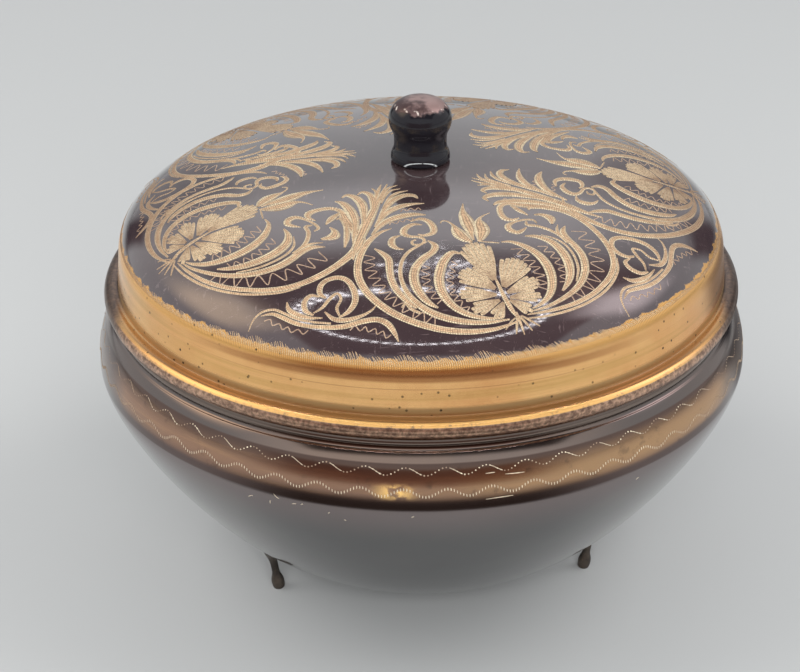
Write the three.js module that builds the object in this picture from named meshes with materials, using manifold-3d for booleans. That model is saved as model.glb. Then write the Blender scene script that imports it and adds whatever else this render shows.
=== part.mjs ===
// Lidded bowl on three feet, in millimetres, +Z up.
// The origin is on the table, under the centre of the bowl. The front faces -Y.
// Bowl and lid are spun from sheet, the knob is turned and the feet are cast.

import * as THREE from 'three';
import { mergeVertices } from 'three/addons/utils/BufferGeometryUtils.js';
import Module from 'manifold-3d';

// Sheet thickness and clearances
const bowlSheet = 1.2;
const lidSheet = 1.2;
const seatGap = 0.3;

// Outside of the lid's bead. Belly, shoulder, rim, collar and the lid's wall all follow it.
const beadRadius = 90;

// Bowl outline: flat base, open lower wall, belly, and a shoulder that turns in to the rim
const baseHeight = 3.6;
const baseRadius = 30;
const lowerWallSpread = 29.5;
const bellyOverhang = 2.5;
const bellyHeight = 66;
const bellyDepth = 9.4;
const shoulderInset = 1.8;
const shoulderHeight = 80;
const shoulderFullness = 7.5;
const shoulderTurn = 2.2;

// Rolled rim of the bowl
const rimRollRadius = 1.85;
const rimInset = 2.4;
const rimRollStart = -60;
const rimRollEnd = 235;

// Collar inside the mouth, which the lid drops over
const collarSheet = 1.0;
const collarRise = 8.5;
const collarDepth = 4.5;
const collarEdge = 0.35;

// Lid outline: rolled bead, cove, upright wall and flattened dome
const beadRollRadius = 2.5;
const beadRollStart = -165;
const beadRollEnd = 105;
const coveHeight = 4.6;
const wallInset = 4.1;
const wallHeight = 11.6;
const wallDraft = 0.65;
const domeRise = 24;
const domeSideFullness = 2.12;
const domeTopFullness = 2.25;

// Knob, from its foot up
const knobFootRadius = 8.3;
const knobFootLip = 0.6;
const knobWaistRadius = 7.35;
const knobWaistHeight = 5;
const knobNeckLength = 1;
const knobHeadRadius = 8.8;
const knobHeadHeight = 12;
const knobHeight = 18;
const knobHeadFullness = 2.6;

// Screw and washer that hold the knob
const screwRadius = 1.75;
const screwReach = 8;
const screwHeadRadius = 3.4;
const screwHeadHeight = 1.8;
const screwSlotWidth = 0.9;
const screwSlotDepth = 0.8;
const screwEdge = 0.35;
const washerRadius = 6.5;
const washerThickness = 0.8;

// Feet: slender cast legs that lean in towards their pads
const footNames = ['front_left_foot', 'front_right_foot', 'rear_foot'];
const firstFootAngle = -143.9;
const footCircleRadius = 51.8;
const legLean = 9.5;
const legRootRadius = 2.4;
const legRootFlare = 3;
const legWaistRadius = 1.1;
const legWaistHeight = 6.4;
const padRadius = 1.85;
const padHeight = 2;
const soleRadius = 1.4;
const footPlateRadius = 3.4;
const footPlateThickness = 0.9;
const footPlateEdge = 0.5;

// How finely round shapes are divided
const shellSides = 60;
const knobSides = 32;
const smallSides = 16;

const degree = Math.PI / 180;
const weldDistance = 1e-4;

// Turns an outline of [radius, height] points about the Z axis.
function turned(outline, sides) {
  const points = outline.map(([radius, height]) => new THREE.Vector2(radius, height));
  return new THREE.LatheGeometry(points, sides).rotateX(Math.PI / 2);
}

// Turns the outline of a ring, which closes on its own first point.
function turnedRing(outline, sides) {
  return turned([...outline, outline[0]], sides);
}

// Points along an arc, with angles in degrees from the outward direction.
function arc([centreRadius, centreHeight], radius, from, to, steps) {
  return Array.from({ length: steps + 1 }, (_, i) => {
    const angle = (from + ((to - from) * i) / steps) * degree;
    return [centreRadius + radius * Math.cos(angle), centreHeight + radius * Math.sin(angle)];
  });
}

// Points along a curve that leaves its start towards one handle and meets its end from the other.
function sweep(start, startHandle, endHandle, end, steps) {
  const corners = [start, startHandle, endHandle, end].map(([r, z]) => new THREE.Vector2(r, z));
  return new THREE.CubicBezierCurve(...corners).getPoints(steps).map((point) => [point.x, point.y]);
}

// Points along an S that leaves and arrives upright, as between a waist and a swell.
function swell(start, end, steps) {
  const middle = (start[1] + end[1]) / 2;
  return sweep(start, [start[0], middle], [end[0], middle], end, steps);
}

// Points along a curve that turns round a corner.
function round(start, corner, end, steps) {
  return sweep(start, corner, corner, end, steps);
}

// A flattened dome from its edge up to an inner radius, fuller than an ellipse.
function cap([radius, height], rise, sideFullness, topFullness, innerRadius, steps) {
  const last = Math.acos((innerRadius / radius) ** (sideFullness / 2));
  return Array.from({ length: steps + 1 }, (_, i) => {
    const angle = (last * i) / steps;
    const across = i === steps ? innerRadius : radius * Math.cos(angle) ** (2 / sideFullness);
    return [across, height + rise * Math.sin(angle) ** (2 / topFullness)];
  });
}

// The same outline moved sideways, to its left as it is drawn. The middle stays on the axis.
function offset(outline, distance) {
  return outline.map(([radius, height], i) => {
    const [r0, z0] = outline[Math.max(i - 1, 0)];
    const [r1, z1] = outline[Math.min(i + 1, outline.length - 1)];
    const length = Math.hypot(r1 - r0, z1 - z0);
    const moved = radius - (distance * (z1 - z0)) / length;
    return [radius === 0 ? 0 : moved, height + (distance * (r1 - r0)) / length];
  });
}

const wasm = await Module();
wasm.setup();

// A closed geometry as a solid that can be cut and joined.
function solid(geometry) {
  const bare = geometry.clone();
  bare.deleteAttribute('normal');
  bare.deleteAttribute('uv');
  const merged = mergeVertices(bare, weldDistance);
  const index = merged.getIndex().array;
  const corners = [];
  for (let i = 0; i < index.length; i += 3) {
    const [a, b, c] = index.slice(i, i + 3);
    if (a !== b && b !== c && c !== a) corners.push(a, b, c);
  }
  const vertProperties = new Float32Array(merged.getAttribute('position').array);
  const triVerts = new Uint32Array(corners);
  return new wasm.Manifold(new wasm.Mesh({ numProp: 3, vertProperties, triVerts }));
}

// A solid back as a geometry.
function surface(body) {
  const { vertProperties, triVerts } = body.getMesh();
  const geometry = new THREE.BufferGeometry();
  geometry.setAttribute('position', new THREE.BufferAttribute(new Float32Array(vertProperties), 3));
  geometry.setIndex(new THREE.BufferAttribute(new Uint32Array(triVerts), 1));
  geometry.computeVertexNormals();
  return geometry;
}

// Heights and radii that follow from the sizes above
const bellyRadius = beadRadius + bellyOverhang;
const shoulderRadius = beadRadius - shoulderInset;
const wallFootRadius = beadRadius - wallInset;
const domeRadius = wallFootRadius - wallDraft;
const rimRoll = [beadRadius - rimInset - rimRollRadius, shoulderHeight + rimRollRadius];
const rimTop = rimRoll[1] + rimRollRadius;
const beadRoll = [beadRadius - beadRollRadius, rimTop + seatGap + beadRollRadius];
const domeHeight = beadRoll[1] + wallHeight;
const lidTop = domeHeight + domeRise;
const screwHole = screwRadius + seatGap;
const knobBase = lidTop + seatGap;
const washerTop = lidTop - lidSheet - seatGap;
const screwHeadTop = washerTop - washerThickness - seatGap;

// The outside of the bowl, from the axis out and up to the foot of the rim
const bowlOutside = [
  [0, baseHeight],
  ...sweep(
    [baseRadius, baseHeight],
    [baseRadius + lowerWallSpread, baseHeight],
    [bellyRadius, bellyHeight - bellyDepth],
    [bellyRadius, bellyHeight],
    13,
  ),
  ...sweep(
    [bellyRadius, bellyHeight],
    [bellyRadius, bellyHeight + shoulderFullness],
    [shoulderRadius + shoulderTurn, shoulderHeight - shoulderTurn],
    [shoulderRadius, shoulderHeight],
    5,
  ).slice(1),
];

// The bowl is one sheet: its lining follows the outside, and its edge is rolled over.
function bowlShell() {
  const roll = arc(rimRoll, rimRollRadius, rimRollStart, rimRollEnd, 8);
  const lining = offset(bowlOutside, bowlSheet).reverse();
  return turned([...bowlOutside, ...roll, ...lining], shellSides);
}

// A plain ring soldered to the inside of the rim.
function mouthCollar() {
  const outer = rimRoll[0] - rimRollRadius - seatGap;
  const inner = outer - collarSheet;
  const bottom = rimRoll[1] - collarDepth;
  const top = rimTop + collarRise;
  return turnedRing([
    [inner, bottom],
    [outer, bottom],
    [outer, top - collarEdge],
    [outer - collarEdge, top],
    [inner + collarEdge, top],
    [inner, top - collarEdge],
  ], shellSides);
}

// The lid is one sheet too: dome, upright wall, cove, and an edge rolled into a bead.
function lidShell() {
  const bead = arc(beadRoll, beadRollRadius, beadRollStart, beadRollEnd, 8);
  const beadTop = bead.at(-1);
  const wallFoot = [wallFootRadius, beadRoll[1] + coveHeight];
  const cove = round(beadTop, [wallFoot[0], beadTop[1]], wallFoot, 3);
  const dome = cap([domeRadius, domeHeight], domeRise, domeSideFullness, domeTopFullness, screwHole, 13);
  const lining = offset([wallFoot, ...dome], lidSheet).reverse();
  return turnedRing([...lining, ...bead, ...cove.slice(1), ...dome], shellSides);
}

// The knob is solid, with a blind hole for the screw.
function knob() {
  const holeTop = knobBase + screwReach + 2 * seatGap;
  const foot = [knobFootRadius, knobBase + knobFootLip];
  const waist = [knobWaistRadius, knobBase + knobWaistHeight];
  const neck = [knobWaistRadius, waist[1] + knobNeckLength];
  const head = [knobHeadRadius, knobBase + knobHeadHeight];
  return turned([
    [0, holeTop],
    [screwHole, holeTop],
    [screwHole, knobBase],
    [knobFootRadius - knobFootLip, knobBase],
    ...swell(foot, waist, 5),
    ...swell(neck, head, 6),
    ...cap(head, knobHeight - knobHeadHeight, knobHeadFullness, 2, 0, 7).slice(1),
  ], knobSides);
}

// A slotted screw, its head under the washer and its shank up in the knob.
function knobScrew() {
  const headBottom = screwHeadTop - screwHeadHeight;
  const tip = knobBase + screwReach;
  const blank = turned([
    [0, headBottom],
    [screwHeadRadius - screwEdge, headBottom],
    [screwHeadRadius, headBottom + screwEdge],
    [screwHeadRadius, screwHeadTop],
    [screwRadius, screwHeadTop],
    [screwRadius, tip - screwEdge],
    [screwRadius - screwEdge, tip],
    [0, tip],
  ], smallSides);
  const slotLength = 3 * screwHeadRadius;
  const slot = new THREE.BoxGeometry(slotLength, screwSlotWidth, 2 * screwSlotDepth);
  slot.translate(0, 0, headBottom);
  return surface(solid(blank).subtract(solid(slot)));
}

function knobWasher() {
  const bottom = washerTop - washerThickness;
  return turnedRing([
    [screwHole, bottom],
    [washerRadius, bottom],
    [washerRadius, washerTop],
    [screwHole, washerTop],
  ], smallSides);
}

// Where the underside of the bowl lies at a radius: its height and how steeply it climbs.
function underside(radius) {
  const next = bowlOutside.findIndex(([r]) => r > radius);
  const [r0, z0] = bowlOutside[next - 1];
  const [r1, z1] = bowlOutside[next];
  const climb = (z1 - z0) / (r1 - r0);
  return { height: z0 + climb * (radius - r0), slope: Math.atan(climb) };
}

// One cast foot on the +X side: a leaning leg with a round pad, cut flat on the table,
// and a plate that lies against the underside of the bowl.
function foot() {
  const lean = legLean * degree;
  const seatRadius = footCircleRadius + underside(footCircleRadius).height * Math.tan(lean);
  const seat = underside(seatRadius);
  const root = [legRootRadius, seat.height / Math.cos(lean)];
  const waist = [legWaistRadius, legWaistHeight];
  const pad = [padRadius, padHeight];
  const sole = [soleRadius, 0];
  const leg = turned([
    [0, -soleRadius],
    [soleRadius, -soleRadius],
    ...round(sole, [padRadius, 0], pad, 3),
    ...swell(pad, waist, 5).slice(1),
    ...round(waist, [legWaistRadius, root[1] - legRootFlare], root, 4).slice(1),
    [0, root[1]],
  ], smallSides).rotateY(lean).translate(footCircleRadius, 0, 0);

  const reach = footPlateThickness + seatGap;
  const plate = turned([
    [0, -reach],
    [footPlateRadius - footPlateEdge, -reach],
    [footPlateRadius, footPlateEdge - reach],
    [footPlateRadius, reach],
    [0, reach],
  ], smallSides).rotateY(-seat.slope).translate(seatRadius, 0, seat.height);

  const bowlWithGap = turned([...offset(bowlOutside, -seatGap), [0, shoulderHeight]], shellSides);
  const table = new THREE.BoxGeometry(footCircleRadius, footCircleRadius, footCircleRadius);
  table.translate(footCircleRadius, 0, -footCircleRadius / 2);
  return surface(solid(leg).add(solid(plate)).subtract(solid(bowlWithGap)).subtract(solid(table)));
}

function finish(color, roughness, metalness) {
  return new THREE.MeshStandardMaterial({ color, roughness, metalness });
}

const bowlLacquer = finish(0x4d3d36, 0.3, 0.85);
const lidLacquer = finish(0x3b2a2a, 0.2, 0.85);
const knobLacquer = finish(0x1d1719, 0.15, 0.6);
const castBrass = finish(0x3a322d, 0.5, 0.9);
const bareBrass = finish(0xb8884a, 0.35, 1);
const screwBrass = finish(0xa8854f, 0.4, 1);

const bowl = new THREE.Group();

function addPiece(name, geometry, material) {
  const piece = new THREE.Mesh(geometry, material);
  piece.name = name;
  bowl.add(piece);
  return piece;
}

addPiece('bowl_shell', bowlShell(), bowlLacquer);
addPiece('mouth_collar', mouthCollar(), bareBrass);
footNames.forEach((name, i) => {
  const piece = addPiece(name, foot(), castBrass);
  piece.rotation.z = (firstFootAngle + (360 * i) / footNames.length) * degree;
});
addPiece('lid_shell', lidShell(), lidLacquer);
addPiece('knob', knob(), knobLacquer);
addPiece('knob_screw', knobScrew(), screwBrass);
addPiece('knob_washer', knobWasher(), bareBrass);

export default bowl;
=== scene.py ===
# %% [markdown]
# # A lidded bowl, dressed for its portrait
#
# The bowl is spun from thin brass, lacquered dark brown, and its lid is cut through with scrolls and
# shell flowers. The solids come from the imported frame. Here the two spun shells, the knob and the feet
# get fine round meshes in the same places, and the ornament is laid on as thin strokes of bright metal.

# %% The frame
import bpy
import bisect
import bmesh
import math
import random
from mathutils import Matrix, Vector


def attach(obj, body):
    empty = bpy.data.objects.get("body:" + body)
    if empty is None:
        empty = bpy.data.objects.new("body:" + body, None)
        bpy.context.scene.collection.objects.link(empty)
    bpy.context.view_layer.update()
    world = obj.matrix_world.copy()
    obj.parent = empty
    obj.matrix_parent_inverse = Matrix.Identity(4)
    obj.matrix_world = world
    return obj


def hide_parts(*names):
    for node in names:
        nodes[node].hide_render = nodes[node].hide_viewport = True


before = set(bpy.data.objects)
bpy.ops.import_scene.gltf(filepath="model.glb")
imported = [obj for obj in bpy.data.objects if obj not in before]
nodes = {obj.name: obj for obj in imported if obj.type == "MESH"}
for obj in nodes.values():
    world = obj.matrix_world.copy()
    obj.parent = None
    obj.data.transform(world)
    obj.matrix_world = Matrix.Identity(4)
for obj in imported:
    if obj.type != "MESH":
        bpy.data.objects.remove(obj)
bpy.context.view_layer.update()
print("solids:", ", ".join(sorted(nodes)))

MM = 0.001


# %% [markdown]
# ## Outlines
#
# Everything here is turned about the Z axis, so each shape starts as an outline of (radius, height)
# points in millimetres. The helpers draw the same curves as the solids do, only with more points, so
# that reflections run smoothly over the metal.

# %% Curves for outlines
def sweep(start, start_handle, end_handle, end, steps):
    """Points along a curve that leaves start towards one handle and meets end from the other."""
    points = []
    for i in range(steps + 1):
        t = i / steps
        weights = ((1 - t) ** 3, 3 * (1 - t) ** 2 * t, 3 * (1 - t) * t * t, t ** 3)
        corners = (start, start_handle, end_handle, end)
        points.append(tuple(sum(w * c[k] for w, c in zip(weights, corners)) for k in (0, 1)))
    return points


def swell(start, end, steps):
    """An S that leaves and arrives upright."""
    middle = (start[1] + end[1]) / 2
    return sweep(start, (start[0], middle), (end[0], middle), end, steps)


def arc(centre, radius, first, last, steps):
    """Points along an arc, with angles in degrees from the outward direction."""
    angles = [math.radians(first + (last - first) * i / steps) for i in range(steps + 1)]
    return [(centre[0] + radius * math.cos(a), centre[1] + radius * math.sin(a)) for a in angles]


def cap(edge, rise, side_fullness, top_fullness, inner_radius, steps):
    """A flattened dome from its edge up to an inner radius."""
    last = math.acos((inner_radius / edge[0]) ** (side_fullness / 2))
    points = []
    for i in range(steps + 1):
        angle = last * i / steps
        across = edge[0] * math.cos(angle) ** (2 / side_fullness)
        points.append((across, edge[1] + rise * math.sin(angle) ** (2 / top_fullness)))
    return points


def offset(outline, distance):
    """The outline moved to its left as it is drawn. A point on the axis stays there."""
    moved = []
    for i, (radius, height) in enumerate(outline):
        r0, z0 = outline[max(i - 1, 0)]
        r1, z1 = outline[min(i + 1, len(outline) - 1)]
        length = math.hypot(r1 - r0, z1 - z0)
        across = 0 if radius == 0 else radius - distance * (z1 - z0) / length
        moved.append((across, height + distance * (r1 - r0) / length))
    return moved


# %% [markdown]
# ## Sizes
#
# The solids' own sizes, in millimetres. The lid's dome is a flattened curve that stays full near its
# edge, and both sheets are 1.2 mm thick.

# %% Sizes of the shells
SHEET = 1.2
GAP = 0.3
BASE_HEIGHT = 3.6
BASE_RADIUS = 30
BELLY = (92.5, 66.0)
SHOULDER = (88.2, 80.0)
RIM_ROLL = (85.75, 81.85)
RIM_ROLL_RADIUS = 1.85
BEAD_ROLL = (87.5, 86.5)
BEAD_ROLL_RADIUS = 2.5
WALL_FOOT = (85.9, 91.1)
DOME_EDGE = (85.25, 98.1)
DOME_RISE = 24.0
DOME_SIDE_FULLNESS = 2.12
DOME_TOP_FULLNESS = 2.25
SCREW_HOLE = 2.05
KNOB_BASE = 122.4
SHELL_SIDES = 240

bowl_outside = [(radius, BASE_HEIGHT) for radius in (0, BASE_RADIUS / 3, BASE_RADIUS * 2 / 3)]
bowl_outside += sweep((BASE_RADIUS, BASE_HEIGHT), (59.5, BASE_HEIGHT), (BELLY[0], 56.6), BELLY, 60)
bowl_outside += sweep(BELLY, (BELLY[0], 73.5), (90.4, 77.8), SHOULDER, 24)[1:]
dome = cap(DOME_EDGE, DOME_RISE, DOME_SIDE_FULLNESS, DOME_TOP_FULLNESS, SCREW_HOLE, 72)
print("bowl outline:", len(bowl_outside), "points; dome:", len(dome), "points")


# %% [markdown]
# ## From outline to mesh
#
# An outline becomes a wire of vertices in the XZ plane, and the spin operator carries it round the
# axis. Points on the axis meet in one, so doubles are merged, and then the normals are made to agree.

# %% Turning
def as_object(name, build):
    """Keeps a bmesh as an object."""
    mesh = bpy.data.meshes.new(name)
    build.to_mesh(mesh)
    build.free()
    thing = bpy.data.objects.new(name, mesh)
    bpy.context.scene.collection.objects.link(thing)
    return thing


def named_mesh(name, build, body, replaced=()):
    """Keeps a bmesh as a smooth piece of the bowl, riding on a body."""
    piece = as_object(name, build)
    piece.data.shade_smooth()
    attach(piece, body)
    if replaced:
        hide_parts(*replaced)
    print(name, len(piece.data.polygons), "faces")
    return piece


def spun(outline, sides, closed=False):
    """A bmesh turned from an outline of (radius, height) points in millimetres."""
    build = bmesh.new()
    wire = [build.verts.new((radius * MM, 0, height * MM)) for radius, height in outline]
    edges = [build.edges.new(pair) for pair in zip(wire, wire[1:])]
    if closed:
        edges.append(build.edges.new((wire[-1], wire[0])))
    bmesh.ops.spin(build, geom=wire + edges, cent=(0, 0, 0), axis=(0, 0, 1),
                   angle=2 * math.pi, steps=sides, use_merge=True, use_duplicate=False)
    bmesh.ops.remove_doubles(build, verts=build.verts, dist=1e-6)
    bmesh.ops.recalc_face_normals(build, faces=build.faces)
    return build


# %% [markdown]
# ## The bowl's shell
#
# One sheet: the outside from the axis up to the shoulder, the edge rolled over into the rim, and the
# lining back down to the axis.

# %% Bowl shell
rim = arc(RIM_ROLL, RIM_ROLL_RADIUS, -60, 235, 28)
bowl_lining = offset(bowl_outside, SHEET)[::-1]
bowl_shell = named_mesh("spun_bowl", spun(bowl_outside + rim + bowl_lining, SHELL_SIDES),
                        "bowl", ["bowl_shell"])

# %% [markdown]
# ## The lid's shell
#
# The lining, the rolled bead, the cove and the dome make one closed ring round the screw's hole.

# %% Lid shell
bead = arc(BEAD_ROLL, BEAD_ROLL_RADIUS, -165, 105, 28)
cove_corner = (WALL_FOOT[0], bead[-1][1])
cove = sweep(bead[-1], cove_corner, cove_corner, WALL_FOOT, 12)
wall = [(WALL_FOOT[0] + (DOME_EDGE[0] - WALL_FOOT[0]) * i / 8,
         WALL_FOOT[1] + (DOME_EDGE[1] - WALL_FOOT[1]) * i / 8) for i in range(1, 8)]
lid_lining = offset([WALL_FOOT] + wall + dome, SHEET)[::-1]
lid_outline = lid_lining + bead + cove[1:] + wall + dome
lid_shell = named_mesh("spun_lid", spun(lid_outline, SHELL_SIDES, closed=True),
                       "lid", ["lid_shell"])

# %% [markdown]
# ## The knob
#
# Turned from the solid: a small lip, a waist, and a head whose top is flatter than a ball's.

# %% Knob
LIP_ROUNDING = 0.6
LIP_CENTRE = (7.7, KNOB_BASE + LIP_ROUNDING)
KNOB_FOOT = (8.3, KNOB_BASE + LIP_ROUNDING)
KNOB_WAIST = (7.35, KNOB_BASE + 5)
KNOB_NECK = (7.35, KNOB_BASE + 6)
KNOB_HEAD = (8.8, KNOB_BASE + 12)
KNOB_RISE = 6.0
KNOB_SIDE_FULLNESS = 2.6
KNOB_TOP_FULLNESS = 2
KNOB_UNDERSIDE = 7.4
SCREW_DEPTH = 8.6
KNOB_SIDES = 96
knob_outline = [(0, KNOB_BASE + SCREW_DEPTH), (SCREW_HOLE, KNOB_BASE + SCREW_DEPTH),
                (SCREW_HOLE, KNOB_BASE), (KNOB_UNDERSIDE, KNOB_BASE)]
knob_outline += arc(LIP_CENTRE, LIP_ROUNDING, -80, 0, 6)
knob_outline += swell(KNOB_FOOT, KNOB_WAIST, 16)[1:]
knob_outline += swell(KNOB_NECK, KNOB_HEAD, 20)
knob_outline += cap(KNOB_HEAD, KNOB_RISE, KNOB_SIDE_FULLNESS, KNOB_TOP_FULLNESS, 0.0, 28)[1:]
knob = named_mesh("turned_knob", spun(knob_outline, KNOB_SIDES), "lid", ["knob"])

# %% [markdown]
# ## Measuring along the metal
#
# The feet and the ornament lie on curved shells. A shell's outline, measured by length from its top
# outwards, turns a flat drawing into places on the metal: a length, an angle from the front, and a
# small lift off the surface.

# %% Places on a shell
class Meridian:
    """A shell's outline from its top outwards, measured by length in millimetres."""

    def __init__(self, outline, first_length=0.0):
        self.outline = outline
        self.lengths = [first_length]
        for (r0, z0), (r1, z1) in zip(outline, outline[1:]):
            self.lengths.append(self.lengths[-1] + math.hypot(r1 - r0, z1 - z0))

    def length_at(self, height):
        """How far along the outline a height is reached."""
        i = next(k for k, (_, z) in enumerate(self.outline) if z <= height)
        z0, z1 = self.outline[i - 1][1], self.outline[i][1]
        return self.lengths[i - 1] + (self.lengths[i] - self.lengths[i - 1]) * (height - z0) / (z1 - z0)

    def place(self, length, angle, lift=0.0):
        """A point in metres, at an angle in radians from the front towards +X."""
        i = min(max(bisect.bisect(self.lengths, length), 1), len(self.lengths) - 1)
        (r0, z0), (r1, z1) = self.outline[i - 1:i + 1]
        step = self.lengths[i] - self.lengths[i - 1]
        share = (length - self.lengths[i - 1]) / step
        radius = r0 + (r1 - r0) * share - lift * (z1 - z0) / step
        height = z0 + (z1 - z0) * share + lift * (r1 - r0) / step
        return Vector((radius * math.sin(angle), -radius * math.cos(angle), height)) * MM


dome_meridian = Meridian(dome[::-1], SCREW_HOLE)
bowl_meridian = Meridian(bowl_outside[::-1])
print("dome from hole to edge:", round(dome_meridian.lengths[-1], 1), "mm")

# %% [markdown]
# ## The feet
#
# Each foot is one casting: a slender leg that leans in towards a round pad, and a plate that fits the
# curve of the bowl. Leg and plate are spun together, as one outline whose plate rings stand a marked
# height above the leg. Then the leg is leaned over, the plate rings are laid against the underside of
# the bowl, and the pad is cut flat on the table.

# %% Feet
FOOT_CIRCLE = 51.8
FIRST_FOOT = -53.9
FEET = ("front_left_foot", "front_right_foot", "rear_foot")
LEG_LEAN = math.radians(9.5)
SEAT_HEIGHT = 13.16
SEAT_RADIUS = 53.77
SOLE_RADIUS = 1.4
BELOW_TABLE = -1.4
PAD = (1.85, 2.0)
SHANK = (1.1, 6.4)
FLARE_FOOT = 8.4
FLARE_HEIGHT = 3
FLARE_WIDTH = 1.5
FLARE_STEPS = 8
PLATE_RADIUS = 3.4
PLATE_EDGE = 0.5
PLATE_DEPTH = 1.2
FLARE_MARK = 20
PLATE_MARK = 100
FOOT_SIDES = 40
seat_length = bowl_meridian.length_at(SEAT_HEIGHT)
leg = [(0, BELOW_TABLE), (SOLE_RADIUS, BELOW_TABLE)]
leg += sweep((SOLE_RADIUS, 0), (1.65, 0), (PAD[0], 0.8), PAD, 6)
leg += swell(PAD, SHANK, 14)[1:] + [(SHANK[0], FLARE_FOOT)]
flare = []
for i in range(1, FLARE_STEPS + 1):
    share = i / FLARE_STEPS
    flare.append((SHANK[0] + FLARE_WIDTH * share ** 2.2,
                  FLARE_MARK + (PLATE_MARK - FLARE_MARK) / 2 * share))
plate_rim = PLATE_RADIUS - PLATE_EDGE
plate = [(plate_rim, -PLATE_DEPTH)] + arc((plate_rim, PLATE_EDGE - PLATE_DEPTH), PLATE_EDGE, -70, 0, 4)
plate += [(PLATE_RADIUS, -GAP), (PLATE_RADIUS / 2, -GAP), (0, -GAP)]
foot_outline = leg + flare + [(radius, PLATE_MARK + height) for radius, height in plate]


def foot_point(spot, angle):
    """Where a point of the spun outline lies on the finished foot, at an angle from the front."""
    outwards, sideways, mark = spot / MM
    blend = min(max(2 * (mark - FLARE_MARK) / (PLATE_MARK - FLARE_MARK), 0), 1)
    depth = min(PLATE_MARK - mark, PLATE_DEPTH)
    on_plate = bowl_meridian.place(seat_length - outwards, angle + sideways / SEAT_RADIUS, depth)
    up = mark if mark < FLARE_MARK else FLARE_FOOT + FLARE_HEIGHT * blend
    radius = FOOT_CIRCLE + outwards * math.cos(LEG_LEAN) + up * math.sin(LEG_LEAN)
    height = up * math.cos(LEG_LEAN) - outwards * math.sin(LEG_LEAN)
    on_leg = Vector((radius * math.sin(angle), -radius * math.cos(angle), height))
    on_leg += Vector((math.cos(angle), math.sin(angle), 0)) * sideways
    return (on_leg * MM).lerp(on_plate, blend ** 1.5)


feet = []
for i, name in enumerate(FEET):
    foot = spun(foot_outline, FOOT_SIDES)
    angle = math.radians(FIRST_FOOT + 120 * i)
    for vert in foot.verts:
        vert.co = foot_point(vert.co, angle)
    whole = list(foot.verts) + list(foot.edges) + list(foot.faces)
    bmesh.ops.bisect_plane(foot, geom=whole, plane_co=(0, 0, 0), plane_no=(0, 0, 1), clear_inner=True)
    bmesh.ops.holes_fill(foot, edges=[edge for edge in foot.edges if edge.is_boundary])
    bmesh.ops.recalc_face_normals(foot, faces=foot.faces)
    feet.append(named_mesh("cast_" + name, foot, "bowl", [name]))

# %% [markdown]
# ## Drawing with a graver
#
# The ornament is cut through the lacquer, so each cut is a thin band of bright metal. A cut is drawn
# as a few points, each with the width of the cut there, and a smooth line is led through them. The
# band is a grid bent along that line, crowned in the middle, with its edges just under the lacquer.
# Its UV map holds the length along the cut and the place across it, for the hatching.
#
# The drawing is flat and in millimetres, with x to the right and y away from the viewer. A point's
# distance from the knob is its distance along the dome.

# %% Cuts
CROWN = 0.10
SINK = 0.03
THINNEST_CUT = 0.15
# a motif leans most in its middle, and spreads where it is well inside the dome's edge
LEAN_REACH = 38
SPREAD_FROM = 75
SPREAD_FADE = 40


def flow(points, step):
    """A smooth line through chosen points of x, y and width."""
    knots = [Vector(point) for point in points]
    knots = [knots[0] * 2 - knots[1], *knots, knots[-1] * 2 - knots[-2]]
    line = []
    for before, start, end, after in zip(knots, knots[1:], knots[2:], knots[3:]):
        steps = max(2, math.ceil((end - start).xy.length / step))
        for i in range(steps):
            t = i / steps
            bend = (2 * before - 5 * start + 4 * end - after) * t * t
            twist = (3 * start - before - 3 * end + after) * t ** 3
            line.append((2 * start + (end - before) * t + bend + twist) / 2)
    return line + [knots[-2]]


def cut(build, points, spot, strips=4, step=0.7, lift=0.0):
    """Adds one cut. The spot function takes a flat point and a lift, and gives its place."""
    line = flow(points, step)
    uv = build.loops.layers.uv.get("cut") or build.loops.layers.uv.new("cut")
    run = [0.0]
    for start, end in zip(line, line[1:]):
        run.append(run[-1] + (end - start).xy.length)
    grid = bmesh.ops.create_grid(build, x_segments=len(line) - 1, y_segments=strips, size=0.5)
    where = {}
    for vert in grid["verts"]:
        i = round((vert.co.x + 0.5) * (len(line) - 1))
        across = 2 * vert.co.y
        ahead = (line[min(i + 1, len(line) - 1)] - line[max(i - 1, 0)]).xy.normalized()
        half = max(line[i].z, THINNEST_CUT) / 2 * across
        where[vert] = (run[i], across)
        height = lift + CROWN * (1 - across * across) - SINK
        vert.co = spot(line[i].x - ahead.y * half, line[i].y + ahead.x * half, height)
    for face in {face for vert in where for face in vert.link_faces}:
        for loop in face.loops:
            loop[uv].uv = where[loop.vert]


def dome_spot(turn, lean=0.0, spread=0.0):
    """A spot function for one motif on the dome, turned from the front by degrees.

    The real motifs aren't all alike: some lean over a little, and some spread further out.
    """
    def spot(x, y, lift):
        length = math.hypot(x, y)
        angle = math.degrees(math.atan2(x, -y))
        angle += turn + lean * max(0.0, 1 - (angle / LEAN_REACH) ** 2)
        length += spread * min(max((SPREAD_FROM - length) / SPREAD_FADE, 0.0), 1.0)
        return dome_meridian.place(length, math.radians(angle), lift)
    return spot


# %% [markdown]
# ## The motif
#
# A shell flower stands in a round frame, under a three-leaved bud and between curls. The frame's left
# side runs up into a plume towards the knob. Brackets fill the space under the next frame, and
# wriggled lines fill the gaps. These are the cuts of one motif.

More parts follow.
